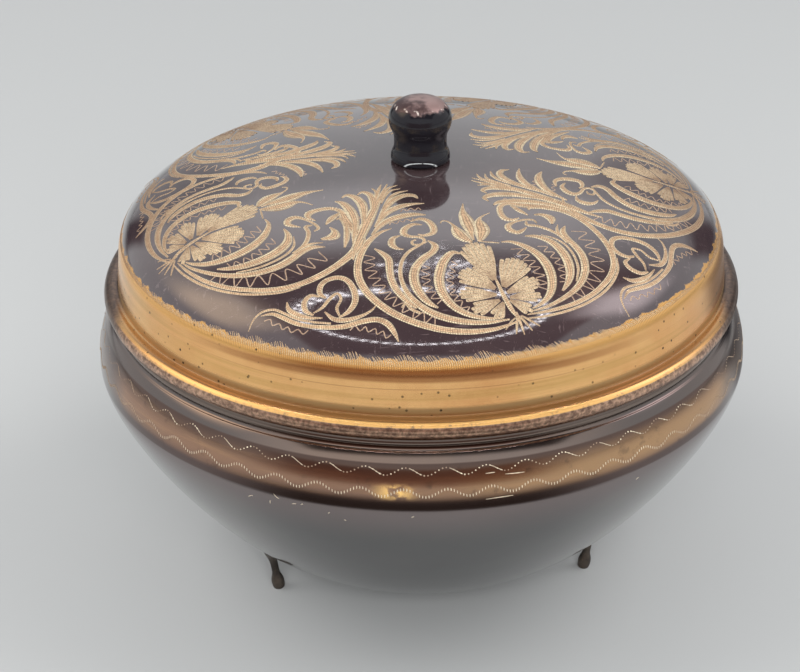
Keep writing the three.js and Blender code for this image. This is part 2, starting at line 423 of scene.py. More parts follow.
# %% Frame and blades
FRAMES = [
    [(-20.5, -35.8, 0.4), (-24, -36.6, 1.6), (-27.5, -38.9, 2.3), (-30.8, -42.6, 2.5), (-33.4, -47, 2.5),
     (-35, -52, 2.6), (-35.1, -57, 2.6), (-34.1, -61.5, 2.6), (-31.9, -66.4, 2.6), (-28.8, -70.5, 2.5),
     (-25, -74, 2.4), (-20, -77.2, 2.3), (-14, -79.4, 2), (-8, -80.2, 1.4), (-3, -79.7, 0.8),
     (0, -78.8, 0.3)],
    [(20, -35.6, 3.2), (24.2, -36.9, 3.4), (27.6, -39.6, 3.1), (30, -43, 2.6), (31.9, -48, 2.3),
     (33, -53, 2.3), (33.2, -58, 2.3), (32.2, -62.8, 2.2), (29.8, -67, 2.1), (26.4, -70.4, 1.9),
     (21.5, -73.8, 1.7), (15, -76.4, 1.5), (8, -77.6, 1.1), (2, -77.8, 0.4)],
    [(33.9, -61, 0.3), (32.6, -65, 0.8), (30, -68.8, 0.9), (26, -72.6, 0.9), (20.5, -75.8, 0.9),
     (14, -78, 0.9), (7, -79, 0.8), (1, -78.9, 0.4)],
]
BLADES = [
    [(4.8, -50.5, 0.5), (7.2, -50.9, 1.2), (9.6, -52.8, 2), (11.8, -56, 2.6), (13.1, -60, 3),
     (13.2, -64.5, 3), (12.1, -69, 2.6), (10, -72.6, 2), (7, -75, 1.2), (4, -76.2, 0.4)],
    [(12, -49.2, 0.6), (15, -50, 1.8), (17.8, -52.5, 2.6), (19.3, -56.5, 3), (19.5, -61, 3),
     (18.5, -65.5, 2.6), (16.6, -69, 1.8), (14, -71.8, 0.6)],
    [(16.5, -49.4, 0.3), (19.8, -51.8, 0.7), (21.6, -55.3, 0.8), (22, -60, 0.8), (21.2, -64.5, 0.8),
     (19, -69, 0.5)],
    [(24.6, -46.4, 0.4), (23, -48.8, 1.9), (23, -52, 2.2), (24, -56, 2.4), (24.3, -60, 2.5),
     (23.2, -64.5, 2.4), (20.8, -68.6, 2.1), (17.2, -72, 1.7), (12.5, -74.6, 1.3), (7.5, -76.4, 0.9),
     (3, -77, 0.3)],
    [(22.8, -45.6, 0.3), (21.8, -47.6, 0.9), (21.5, -49.8, 1.1), (22.2, -53, 0.8)],
    [(-7.2, -52.6, 0.6), (-9.2, -51.6, 2), (-12, -53.8, 2.6), (-14.5, -57.4, 2.9), (-16.4, -61.8, 2.9),
     (-16.8, -66.5, 2.7), (-15.6, -71, 2.3), (-12.8, -74.4, 1.8), (-8.5, -76.8, 1.1), (-4.5, -77.5, 0.4)],
    [(-13.4, -44.6, 0.5), (-12.4, -47.2, 2), (-13.8, -49.6, 2.2), (-17.4, -51.8, 2.5), (-20.5, -55, 2.7),
     (-22.2, -59, 2.8), (-22.4, -63.5, 2.6), (-21.4, -67.6, 1.9), (-19.6, -70.2, 0.6)],
    [(-13.8, -45, 0.4), (-16.5, -46, 0.9), (-20, -47.8, 1.1), (-22.8, -51, 1.1), (-24.7, -55.4, 1.2),
     (-25.4, -60, 1.4), (-25, -64.5, 1.8), (-23.2, -69, 2.2), (-20, -72.8, 2.3), (-15, -76, 2),
     (-9, -77.9, 1.3), (-3, -78.3, 0.5)],
    [(-27.6, -43, 0.5), (-26.4, -45.6, 1.7), (-25.7, -48.8, 2.2), (-26.8, -53, 2.1), (-27.6, -57, 2.1),
     (-27.5, -61, 2.1), (-26.3, -65.5, 1.8), (-24.6, -68.5, 0.8)],
    [(-28.4, -67, 0.4), (-27, -66.2, 0.8), (-26, -68.6, 1), (-24.4, -70.4, 0.8)],
]
print("frame and blades:", len(FRAMES) + len(BLADES), "cuts")

# %% Curls, bud and tuft
CURLS = [
    [(20, -35.6, 3.2), (16.5, -34.2, 2.6), (13.2, -32.8, 1.8), (10.8, -34, 1.7), (9.7, -37, 1.8),
     (9.8, -40, 2.1), (11.5, -41.2, 1.4), (13.6, -40.6, 0.4)],
    [(14, -34, 1), (15.1, -37, 1.8), (16.6, -39.8, 0.4)],
    [(18.2, -39.8, 0.5), (20.4, -40.2, 1.7), (22.1, -42.2, 2.8), (21.4, -45, 0.8)],
    [(17.4, -44, 0.4), (17, -42.3, 0.9), (14.5, -41.8, 0.9), (11.5, -42.4, 1), (9.4, -43.6, 1.8),
     (9.1, -45.6, 2.1), (10.6, -47.2, 1.9), (12.3, -46.6, 1.3), (13.9, -45.4, 0.3)],
    [(14.9, -42.6, 0.5), (14.6, -44.3, 1.2), (17, -45.3, 1.2), (19.6, -47.6, 1.2), (21.4, -50.4, 1.1),
     (22.4, -54, 0.9)],
    [(-14.8, -34.4, 0.4), (-12, -34, 1.4), (-10.3, -35.8, 1.9), (-10, -39, 2.1), (-11, -41.6, 1.8),
     (-13.6, -42, 1.2), (-14.9, -40.9, 0.4)],
    [(-12.4, -37, 0.4), (-14.6, -36, 1.5), (-17.2, -37.2, 2), (-18.3, -39.4, 2), (-17.2, -41.2, 1.3),
     (-15, -42.3, 1.1), (-14.2, -44, 1), (-15.6, -45.6, 0.9), (-17.6, -45, 0.9), (-17.4, -43.5, 0.8),
     (-16.2, -43.2, 0.5)],
    [(-19.4, -39.9, 0.4), (-21.6, -40.4, 1.6), (-22.8, -42.8, 2.1), (-22.2, -45, 1.3), (-20.6, -46.2, 0.4)],
]
BUDS = [
    [(1.6, -30, 0.3), (0.5, -32.8, 1.2), (-0.2, -35.5, 2.7), (-0.5, -39, 4), (-0.9, -42.5, 3.6),
     (-1.6, -45.5, 1.5), (-1.9, -48, 0.5)],
    [(6.8, -36.5, 0.3), (4.6, -37.4, 0.6), (2.9, -38.9, 1.4), (2.2, -41.5, 4), (1.6, -44.5, 4.4),
     (0.2, -47.5, 2.4), (-0.9, -49, 0.6)],
    [(-7.6, -37.9, 0.3), (-6.8, -36.9, 0.5), (-5.6, -37.4, 0.6), (-4.7, -39.6, 0.9), (-4.7, -42, 2.8),
     (-4.4, -44.5, 4), (-3.6, -47, 3), (-2.6, -48.6, 0.8)],
    [(-0.4, -49, 0.4), (2, -49.9, 0.6), (4.2, -50.8, 0.3)],
]
TUFTS = [
    [(-0.6, -76.5, 0.5), (-0.6, -79, 0.8), (-0.5, -83.3, 0.3)],
    [(-0.8, -77.8, 0.5), (-1.6, -80, 0.7), (-2.6, -82.7, 0.3)],
    [(-0.2, -77.8, 0.5), (0.8, -80, 0.7), (1.9, -82.5, 0.3)],
    [(0.3, -77.8, 0.5), (2.2, -79.6, 0.7), (4.3, -81.6, 0.3)],
    [(-1.4, -78.2, 0.4), (-3, -79.2, 0.5), (-5, -81, 0.3)],
    [(-1.9, -63, 0.4), (-2, -70, 1.2), (-1.6, -75, 1.4), (-0.9, -78, 0.6)],
]
print("curls, bud and tuft:", len(CURLS) + len(BUDS) + len(TUFTS), "cuts")

# %% Plume
PLUMES = [
    [(-10, -18.3, 0.3), (-12.5, -18.4, 1.1), (-14.8, -19.5, 1.2), (-16.8, -21.6, 1), (-19.6, -25.6, 0.5)],
    [(-8.9, -23.6, 0.4), (-9.5, -21.5, 1.6), (-12, -20.6, 2.2), (-15.2, -21.9, 2.4), (-18, -24.6, 2),
     (-20.6, -28, 1.4), (-23, -31.8, 0.5)],
    [(-8.2, -26.6, 0.4), (-11, -26, 1.3), (-14.6, -26, 2.3), (-18.4, -27.4, 2.3), (-21.4, -30, 1.8),
     (-24.4, -33.6, 0.6)],
    [(-9.8, -32.6, 0.5), (-12.4, -31.4, 1.9), (-16, -31, 2.7), (-20, -31.8, 2.5), (-23, -33.6, 1.9),
     (-26.4, -37, 0.6)],
    [(-14, -12.6, 0.4), (-17.4, -18, 1.3), (-20.6, -23, 2.1), (-24, -28.4, 2.9), (-27.4, -33.4, 3.2),
     (-30.4, -38, 2.7), (-32.8, -42, 1.5), (-34.2, -45.4, 0.4)],
    [(-11.6, -14.2, 0.3), (-14.2, -14.9, 1), (-16.4, -17.4, 1), (-18.6, -21, 0.6)],
    [(-11.6, -16.5, 0.3), (-14.2, -16.6, 0.9), (-16.4, -18.6, 1), (-19, -22.6, 0.5)],
    [(-15.6, -12.2, 0.3), (-17.2, -15, 1.1), (-19.4, -19.4, 1.1), (-21.6, -23.6, 0.6)],
    [(-18.6, -13.4, 0.3), (-18.2, -16.4, 1.2), (-20, -20, 1), (-22, -24, 0.5)],
    [(-23.4, -15.4, 0.3), (-21.6, -14.4, 1.4), (-20.2, -16.8, 2.1), (-20.6, -20.4, 2.1), (-21.9, -24.6, 1.6),
     (-24, -29, 0.5)],
    [(-27.8, -15.2, 0.4), (-26, -14.3, 1.5), (-24.3, -16.8, 2.5), (-23.9, -21, 2.8), (-24.9, -26, 2.2),
     (-26.4, -30.4, 1.4), (-28, -33.4, 0.5)],
    [(-30, -16.2, 0.4), (-28.5, -18, 2), (-27.8, -22, 2.8), (-28, -26.6, 2.8), (-29, -31, 2.2),
     (-30.6, -35, 1.4), (-32, -38.6, 0.4)],
    [(-32.6, -25.8, 0.3), (-31.5, -25.4, 1.1), (-30.9, -28, 1.6), (-31.6, -32, 1.8), (-33, -36, 1.6),
     (-34.6, -39.4, 0.5)],
]
print("plume:", len(PLUMES), "cuts")

# %% [markdown]
# Each petal of the shell flower is a fan of ribs, narrow at its root and rounded at its end. A
# wriggle swings from side to side of its path.

# %% Petals and wriggles
# base x and y, tip x and y, width, ribs
PETALS = [
    (-2.4, -66, -3.1, -48.9, 9.2, 7),
    (-1.4, -68.5, 6.6, -58.4, 8.8, 7),
    (-2.8, -68.5, -9.8, -59.4, 7.8, 6),
    (-1.4, -70.2, 8.8, -67.0, 5.2, 5),
    (-3.0, -70.2, -13, -67.4, 5.6, 5),
    (-1.2, -71.6, 7.8, -72.4, 4.4, 4),
    (-3.0, -71.8, -11.6, -73.8, 4.8, 4),
    (-1.2, -72.2, 3.8, -77.2, 4.0, 3),
    (-2.6, -72.6, -6.6, -77.4, 4.0, 3),
]
# path, swing to each side, length of one wave
WRIGGLES = [
    ([(7.4, -53.6), (8.9, -58), (9.7, -62), (9.9, -66), (8.8, -71)], 1.35, 2.7),
    ([(14.6, -53.8), (16.2, -58), (16.8, -62), (16.5, -66), (15.2, -69.4)], 1.1, 2.6),
    ([(27.2, -48.5), (28.3, -54), (28.3, -59), (27, -64), (24, -68.6), (19.6, -72.2), (15, -74.6)], 1.9, 3.9),
    ([(-29.6, -45), (-31.2, -50), (-31.4, -56), (-30.6, -61), (-28.8, -65.5),
      (-25.4, -70.6), (-21, -74.2)], 1.4, 3.0),
    ([(-17.4, -54.4), (-19.1, -59), (-19.7, -64), (-18.3, -69)], 1.1, 2.5),
    ([(-9.8, -55.4), (-12.6, -60), (-14.2, -64.5), (-14.1, -69), (-12.2, -73.6)], 0.9, 2.5),
    ([(-20.6, -33.6), (-17, -33.4), (-13.2, -33.6)], 0.6, 2.2),
    ([(-15.6, -28.2), (-12.6, -28.4), (-9.6, -29.2)], 0.6, 2.0),
    ([(12.5, -30.5), (15.5, -31), (19, -32)], 0.7, 2.2),
]


def petal_ribs(base_x, base_y, tip_x, tip_y, width, ribs):
    """The cuts of one petal, fanned out from its base."""
    base = Vector((base_x, base_y))
    reach = Vector((tip_x, tip_y)) - base
    rib = width / ribs
    side = Vector((-reach.y, reach.x)).normalized() * (width - rib) / 2
    cuts = []
    for i in range(ribs):
        fan = -1 + 2 * i / (ribs - 1)
        start = base + reach * 0.06 + side * fan * 0.10
        middle = base + reach * 0.5 + side * fan * 0.70
        end = base + reach * (1 - 0.16 * fan * fan) + side * fan
        before_end = end - reach.normalized() * 0.6 - side * fan * 0.04
        cuts.append([(*start, 0.5), (*middle, rib * 0.86), (*before_end, rib * 1.04), (*end, rib * 0.6)])
    return cuts


def wriggle(path, swing, wave, width=0.42):
    """One zigzag cut along a path of x, y points."""
    line = flow([(x, y, 0) for x, y in path], 0.4)
    length = sum((end - start).xy.length for start, end in zip(line, line[1:]))
    turns = round(length / wave * 2)
    points = []
    for i in range(turns + 1):
        k = min(round((len(line) - 1) * i / turns), len(line) - 2)
        ahead = (line[k + 1] - line[k]).xy.normalized()
        side = swing if i % 2 else -swing
        points.append((line[k].x - ahead.y * side, line[k].y + ahead.x * side, width))
    return points


print("petals:", len(PETALS), "wriggles:", len(WRIGGLES))

# %% [markdown]
# The brackets stand halfway between two motifs, so they are drawn in a frame of their own, a tenth of
# a turn to the left.

# %% Brackets
BRACKETS = [
    [(-3.6, -71.8, 0.8), (-5.6, -70.6, 1.7), (-6.3, -68, 2), (-5.3, -65.6, 2), (-2.6, -64.2, 2),
     (0.2, -65, 2), (2.8, -68, 2.1), (4.2, -71.6, 2.1), (3.6, -75, 1.7), (1.6, -77.4, 0.5)],
    [(-5.4, -71.6, 0.5), (-7.9, -71.6, 1.5), (-8.8, -74, 1.9), (-7.6, -76.6, 1.7), (-5.2, -77.6, 0.6)],
    [(-5.4, -77, 0.5), (-3.6, -75, 1.1), (-2.6, -72, 1.3), (-1.2, -69.8, 1), (0.4, -71.5, 0.9),
     (0.2, -74.5, 1.1), (1.6, -76.8, 0.6)],
    [(-13.5, -74.4, 0.4), (-12.3, -76.6, 1.6), (-9.6, -77.9, 1.8), (-6, -78.5, 1.2), (-2.6, -78.1, 0.4)],
    [(-2.6, -76.2, 0.5), (0.5, -78, 1.6), (4, -77.6, 1.7), (7.4, -75.6, 1.2), (9.4, -73.2, 0.7),
     (9.9, -71.2, 0.3)],
    [(-22.2, -83.2, 0.3), (-21.3, -80, 0.6), (-19.4, -77.7, 0.8), (-16.4, -76.9, 0.9), (-13, -77.9, 0.9),
     (-9.4, -79.1, 0.9), (-5, -79.6, 0.8), (0, -79.4, 0.7)],
    [(-19.5, -78.9, 0.3), (-16.4, -78.2, 1.1), (-13, -79.2, 1.5), (-9.4, -80.4, 1.5), (-5, -80.9, 1.4),
     (0, -80.5, 1.6), (4, -79.5, 1.9), (8, -77.3, 2), (11.4, -76, 2), (14.4, -76.6, 2.1), (16.8, -78.6, 1.6),
     (18.6, -80.8, 0.3)],
]
BRACKET_WRIGGLES = [
    ([(-18, -79.8), (-15.4, -80.9), (-12.4, -81.9), (-9, -82.6), (-5, -82.6)], 0.6, 3.0),
    ([(5.4, -79.8), (8.4, -79.4), (11, -79.3), (13.8, -79.6), (16.4, -80.2)], 0.7, 2.5),
]
print("brackets:", len(BRACKETS), "cuts")

# %% [markdown]
# ## Five motifs round the lid
#
# The front motif faces a little to the right of the viewer. The others follow at a fifth of a turn.
# They were cut by eye, so each has a small lean, a spread and a turn of its plume of its own. Each
# piece also has a small lift, which keeps cuts apart where the blades, the curls and the plume cross.

# %% Laying the motifs
# turn, lean, spread, turn of the plume, all but the spread in degrees
MOTIFS = [(19, 0, 0, 0), (91, 1.5, 2.7, 5.5), (163, 0, 1, 2), (235, -1, 1, -2), (307, -6, 2, -5.5)]
HALF_MOTIF = -36


def motif_spots(turn, lean, spread, plume_turn):
    """A spot function for each part of one motif."""
    return {"flower": dome_spot(turn, lean, spread), "plume": dome_spot(turn + plume_turn),
            "bracket": dome_spot(turn + HALF_MOTIF)}


def engrave(name, lift, **parts):
    """One piece, from the cuts of each part named, repeated in every motif."""
    build = bmesh.new()
    for motif in MOTIFS:
        spots = motif_spots(*motif)
        for part, cuts in parts.items():
            for points in cuts:
                cut(build, points, spots[part], lift=lift)
    return named_mesh(name, build, "lid")


petals = [rib for petal in PETALS for rib in petal_ribs(*petal)]
wriggles = [wriggle(*values) for values in WRIGGLES]
bracket_wriggles = [wriggle(*values) for values in BRACKET_WRIGGLES]
engraving = [
    engrave("lid_frames", 0.0, flower=FRAMES, bracket=BRACKETS),
    engrave("lid_blades", 0.02, flower=BLADES),
    engrave("lid_curls", 0.03, flower=CURLS + BUDS + TUFTS),
    engrave("lid_plumes", 0.04, plume=PLUMES),
    engrave("lid_petals", 0.02, flower=petals),
    engrave("lid_wriggles", -0.01, flower=wriggles, bracket=bracket_wriggles)]

# %% [markdown]
# ## The border of fine hairs
#
# Where the lacquer ends, short slanted cuts stand in scallops round the whole edge. Nearly a thousand
# are needed, so each has only a few faces.

# %% Border hairs
HAIRS = 960
SCALLOPS = 80
HAIR_FOOT = 88.7
HAIR_LENGTH = 1.9
BORDER_TILT = 0.9
BORDER_TILT_AT = math.radians(50)
border = bmesh.new()
hand = random.Random(7)
reach = [hand.uniform(0.4, 2.0) for _ in range(SCALLOPS)]
for i in range(HAIRS):
    scallop, share = divmod(i * SCALLOPS / HAIRS, 1)
    turn = math.tau * i / HAIRS
    # the edge is worn smooth away from the front
    kept = 0.35 + 0.65 * max(math.cos(turn), 0) ** 3
    foot = HAIR_FOOT + BORDER_TILT * math.cos(turn + BORDER_TILT_AT)
    height = HAIR_LENGTH + reach[int(scallop)] * math.sin(math.pi * share) + hand.uniform(-0.15, 0.15)
    top = foot - kept * height
    lean = hand.uniform(0.8, 1.5)
    points = [(-lean, -top, 0.2), (-lean * 0.25, -(top + foot) / 2, 0.32), (0, -foot, 0.2)]
    cut(border, points, dome_spot(math.degrees(turn)), strips=2, step=1.5)
engraving.append(named_mesh("lid_border", border, "lid"))

# %% [markdown]
# ## Two waves on the shoulder
#
# The upper wave is a row of punched dots, joined by a fine line where it falls. The lower one is a row
# of short upright ticks.

# %% Waves
UPPER_WAVES = 56
LOWER_WAVES = 52
DOTS_PER_WAVE = 11
TICKS_PER_WAVE = 14
SHOULDER_RADIUS = 91.0
ROUND_LENGTH = 2 * math.pi * SHOULDER_RADIUS
UPPER_HEIGHT = 75.9
LOWER_HEIGHT = 70.4
UPPER_START = 2.6 / 360
LOWER_START = 2.9 / 360
LOWER_SWING = 1.05
# in every seven waves the fine line of the fourth is missing
MISSED_LINE = (7, 3)
upper_length = bowl_meridian.length_at(UPPER_HEIGHT)
lower_length = bowl_meridian.length_at(LOWER_HEIGHT)


def wave_swing(share):
    return math.cos(2 * math.pi * share)


def bowl_spot(x, y, lift):
    """A flat point on the shoulder, with x round the bowl and y up from the upper wave."""
    return bowl_meridian.place(upper_length - y, x / SHOULDER_RADIUS, lift)


upper = bmesh.new()
for i in range(UPPER_WAVES * DOTS_PER_WAVE):
    x = ROUND_LENGTH * (i / DOTS_PER_WAVE / UPPER_WAVES - UPPER_START)
    y = wave_swing(i / DOTS_PER_WAVE)
    size = hand.uniform(0.20, 0.28)
    dot = bmesh.ops.create_circle(upper, cap_ends=True, cap_tris=True, segments=7, radius=size)
    for vert in dot["verts"]:
        crowned = 0.06 if vert.co.xy.length < size / 2 else -0.02
        vert.co = bowl_spot(x + vert.co.x, y + vert.co.y, crowned)
for i in range(UPPER_WAVES):
    if i % MISSED_LINE[0] != MISSED_LINE[1]:
        fall = [((i + s - UPPER_START * UPPER_WAVES) / UPPER_WAVES * ROUND_LENGTH, wave_swing(s), 0.2)
                for s in (0.1, 0.2, 0.3, 0.4)]
        cut(upper, fall, bowl_spot, strips=2, step=1.0)
lower = bmesh.new()
for i in range(LOWER_WAVES * TICKS_PER_WAVE):
    x = ROUND_LENGTH * (i / TICKS_PER_WAVE / LOWER_WAVES - LOWER_START)
    y = upper_length - lower_length + LOWER_SWING * wave_swing(i / TICKS_PER_WAVE)
    tick = [(x - 0.05, y + 0.4, 0.16), (x, y, 0.3), (x, y - 0.4, 0.16)]
    cut(lower, tick, bowl_spot, strips=2, step=1.0)
print("dots:", UPPER_WAVES * DOTS_PER_WAVE, "ticks:", LOWER_WAVES * TICKS_PER_WAVE)

# %% [markdown]
# Use has left a few small bright nicks in the lacquer. They belong to the lower wave's piece.

# %% Nicks
# degrees from the front, height, length across, rise
NICKS = [
    (-28.8, 62.5, 1.6, 0.9), (-25.2, 62.3, 0.3, 1.3), (-23.8, 65.0, 1.4, -1.2), (-20.8, 63.7, 1.2, 0.3),
    (-19.4, 64.1, 0.6, 0.4), (-15.0, 62.5, 0.5, 0.5), (-12.5, 60.5, 0.6, -0.3), (-1.5, 63.3, 0.7, 0.3),
    (12.2, 68.0, 7.0, 0.2), (10.8, 74.8, 2.4, 0.1), (14.8, 74.0, 5.0, -0.2), (37.8, 62.2, 0.8, 0.5)]
for degrees, height, across, rise in NICKS:
    x = math.radians(degrees) * SHOULDER_RADIUS
    y = upper_length - bowl_meridian.length_at(height)
    nick = [(x - across / 2, y - rise / 2, 0.16), (x + across * 0.1, y + rise * 0.3, 0.34),
            (x + across / 2, y + rise / 2, 0.16)]
    cut(lower, nick, bowl_spot, strips=2, step=0.6)
waves = [named_mesh("upper_wave", upper, "bowl"),
         named_mesh("lower_wave", lower, "bowl")]

# %% [markdown]
# ## The camera
#
# The photograph looks down on the bowl from the front at 26 degrees. The view's centre lies off the
# picture's middle, which the lens shift takes up.

# %% Camera
PICTURE = (800, 672)
VIEW_CENTRE = (421.09, 272.98)
FOCAL_PIXELS = 2134.05
VIEW_DISTANCE = 0.61115
VIEW_ELEVATION = math.radians(26.384)
VIEW_ROLL = math.radians(-0.3144)
SENSOR = 36.0
AIM_HEIGHT = 86.5 * MM
lens_axis = Vector((0, -math.cos(VIEW_ELEVATION), math.sin(VIEW_ELEVATION)))
camera = bpy.data.objects.new("camera", bpy.data.cameras.new("camera"))
bpy.context.scene.collection.objects.link(camera)
camera.location = Vector((0, 0, AIM_HEIGHT)) + lens_axis * VIEW_DISTANCE
turn = (-lens_axis).to_track_quat("-Z", "Y").to_matrix() @ Matrix.Rotation(VIEW_ROLL, 3, "Z")
camera.rotation_euler = turn.to_euler()
camera.data.sensor_width = SENSOR
camera.data.lens = FOCAL_PIXELS / PICTURE[0] * SENSOR
camera.data.shift_x = (PICTURE[0] / 2 - VIEW_CENTRE[0]) / PICTURE[0]
camera.data.shift_y = (VIEW_CENTRE[1] - PICTURE[1] / 2) / PICTURE[0]
camera.data.clip_start = 0.01
bpy.context.scene.camera = camera
bpy.context.scene.view_settings.view_transform = "Standard"
print("camera at", [round(v, 4) for v in camera.location], "lens", round(camera.data.lens, 2))


# %% [markdown]
# ## Shader maths
#
# A finish is a small program. `Sum` wraps one number of it, so that masks can be written as plain
# expressions, and `Finish.node` adds any other node.

# %% Sum and Finish
class Sum:
    """A number worked out by the shader. Operators on it add Math nodes."""

    def __init__(self, finish, socket):
        self.finish = finish
        self.socket = socket

    def math(self, operation, *values):
        return self.finish.node("ShaderNodeMath", {"operation": operation}, dict(enumerate(values)))

    def __add__(self, other):
        return self.math("ADD", self, other)

    def __sub__(self, other):
        return self.math("SUBTRACT", self, other)

    def __rsub__(self, other):
        return self.math("SUBTRACT", other, self)

    def __mul__(self, other):
        return self.math("MULTIPLY", self, other)

    def __truediv__(self, other):
        return self.math("DIVIDE", self, other)

    __radd__ = __add__
    __rmul__ = __mul__

    def max(self, other):
        return self.math("MAXIMUM", self, other)

    def min(self, other):
        return self.math("MINIMUM", self, other)

    def sine(self):
        return self.math("SINE", self)

    def cosine(self):
        return self.math("COSINE", self)

    def angle(self, other):
        """The angle whose tangent is this number over the other."""
        return self.math("ARCTAN2", self, other)

    def rises(self, low, high):
        """0 below low, 1 above high, and smooth between them. Falls where low is over high."""
        return self.finish.node("ShaderNodeMapRange", {"interpolation_type": "SMOOTHSTEP"},
                                {"Value": self, "From Min": low, "From Max": high})

    def past(self, line, soft):
        """1 beyond a line, fading over soft on each side of it."""
        return self.rises(line - soft, line + soft)

    def between(self, low, high, soft):
        """1 between low and high, fading over soft on each side."""
        return self.past(low, soft) * self.rises(high + soft, high - soft)


class Finish:
    """A material under construction."""

    def __init__(self, name):
        self.material = bpy.data.materials.new(name)
        self.material.use_nodes = True
        self.tree = self.material.node_tree
        self.tree.nodes.clear()
        self.place = self.node("ShaderNodeTexCoord", {}, {}, "Object")

    def node(self, kind, settings, sockets, output=0):
        made = self.tree.nodes.new(kind)
        for name, value in settings.items():
            setattr(made, name, value)
        for name, value in sockets.items():
            socket = made.inputs[name]
            if isinstance(value, Sum):
                self.tree.links.new(value.socket, socket)
            elif socket.type == "RGBA":
                socket.default_value = (*value, 1)
            else:
                socket.default_value = value
        return Sum(self, made.outputs[output]) if made.outputs else made

    def split(self, place):
        """The x, y and z of a place, each as a number."""
        outputs = self.node("ShaderNodeSeparateXYZ", {}, {"Vector": place}).socket.node.outputs
        return [Sum(self, outputs[i]) for i in range(3)]

    def uv(self, name):
        """The place in a UV map."""
        return self.node("ShaderNodeUVMap", {"uv_map": name}, {})

    def noise(self, scale, detail=3.0, roughness=0.5, place=None):
        return self.node("ShaderNodeTexNoise", {}, {
            "Vector": place or self.place, "Scale": scale, "Detail": detail,
            "Roughness": roughness})

    def lines(self, scale, detail=3, roughness=0.6):
        """Noise with a scale for each axis, which makes scratches and turning lines."""
        place = self.node("ShaderNodeMapping", {}, {"Vector": self.place, "Scale": scale})
        return self.noise(1.0, detail, roughness, place)

    def specks(self, scale, size):
        """1 inside small round specks, which sit in some cells of a grid of points."""
        near = self.node("ShaderNodeTexVoronoi", {}, {"Vector": self.place, "Scale": scale})
        return near.rises(size, size * 0.5)

    def near(self, spot, distance):
        """1 at a spot, falling to 0 at a distance from it."""
        gap = self.node("ShaderNodeVectorMath", {"operation": "DISTANCE"}, {0: self.place, 1: spot}, 1)
        return gap.rises(distance, 0)

    def mixed(self, amount, first, second):
        """One colour turning into another."""
        return self.node("ShaderNodeMix", {"data_type": "RGBA"},
                         {"Factor": amount, 6: first, 7: second}, 2)

    def layered(self, colour, *layers):
        """A colour under layers, each given by its amount and its colour."""
        for amount, tone in layers:
            colour = self.mixed(amount, colour, tone)
        return colour

    def bump(self, height, distance, strength=1.0):
        return self.node("ShaderNodeBump", {}, {
            "Height": height, "Distance": distance, "Strength": strength})

    def surface(self, **sockets):
        """The shader itself. Names use _ for a space."""
        values = {name.replace("_", " "): value for name, value in sockets.items()}
        shader = self.node("ShaderNodeBsdfPrincipled", {}, values)
        self.node("ShaderNodeOutputMaterial", {}, {"Surface": shader})
        return self.material


def paint(piece, material):
    """Gives a piece its material, in place of any it has."""
    piece.data.materials.clear()
    piece.data.materials.append(material)


# %% [markdown]
# ## The lid's finish
#
# The dome is under dark, glossy lacquer. At its edge the lacquer stops, and the wall below is bare
# metal: orange and yellow next to the lacquer, gold below, with fine turning lines and black specks.
# A dark belt and a thin dark line across the front of the wall are painted reflections, and the foot of the
# wall is painted darker, most at the front, as painted shade. The rolled bead is dull and mottled, with two
# painted highlights as bright lines along its front.

# %% Lid finish
# heights, in metres
WALL_TOP = 104.3 * MM
YELLOW_BAND = (0.1018, 0.1026)
HAIR_BAND = (0.1016, 0.1024)
ORANGE_BAND = (0.1006, 0.1022)
PAINTED_REFLECTION_BELT = (0.0983, 0.1003)
PAINTED_REFLECTION_LINE = (0.0963, 0.0965)
WALL_FOOT_SHADE = (0.0920, 0.0910)
COVE_ZONE = (0.0894, 0.0912)
BEAD_TOP_HIGHLIGHT = (0.08880, 0.0893)
BEAD_HIGHLIGHT_LINE = (0.0878, 0.08872)
BEAD_DULL = (0.0885, 0.0881)
BEAD_DULL_SIDE = (0.0897, 0.0892)
LOW_WALL = (0.0985, 0.0955)


